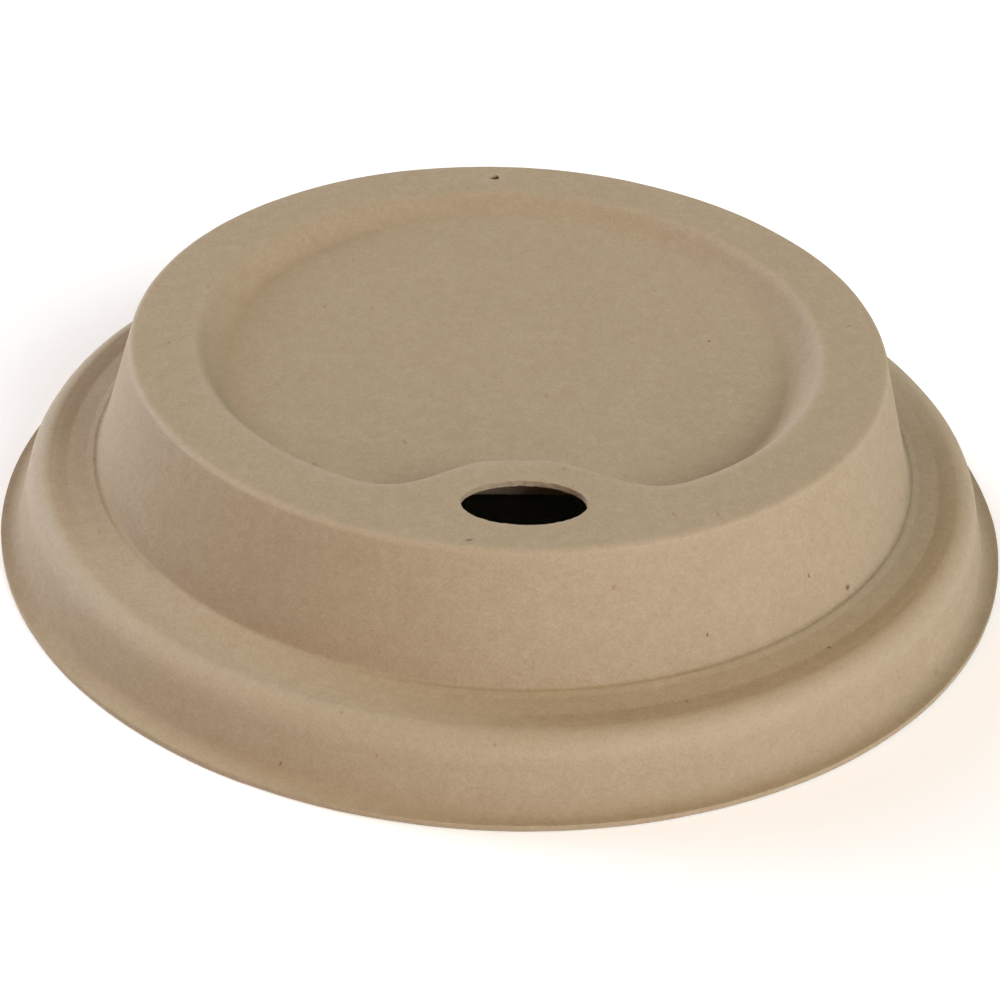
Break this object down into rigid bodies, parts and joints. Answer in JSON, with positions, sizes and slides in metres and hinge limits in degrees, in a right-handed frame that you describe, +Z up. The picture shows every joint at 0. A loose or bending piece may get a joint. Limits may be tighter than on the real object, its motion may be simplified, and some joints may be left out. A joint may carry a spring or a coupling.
{
  "type": "coffee cup lid",
  "caption": "Moulded pulp lid for a takeaway hot drink cup: stepped dome with a recessed top, an oval sip hole, a pinhole vent and a skirt with a flat lip.",
  "frame": {"origin": "centre of the rim's bottom plane", "axes": "+Z up along the lid's axis, -Y towards the sip hole"},
  "size_m": [0.096, 0.096, 0.0199],
  "materials": {
    "pulp": "matt moulded plant-fibre pulp, unbleached, with fine mottle and flecks"
  },
  "bodies": {
    "root": {"lid": "pulp"}
  },
  "joints": []
}
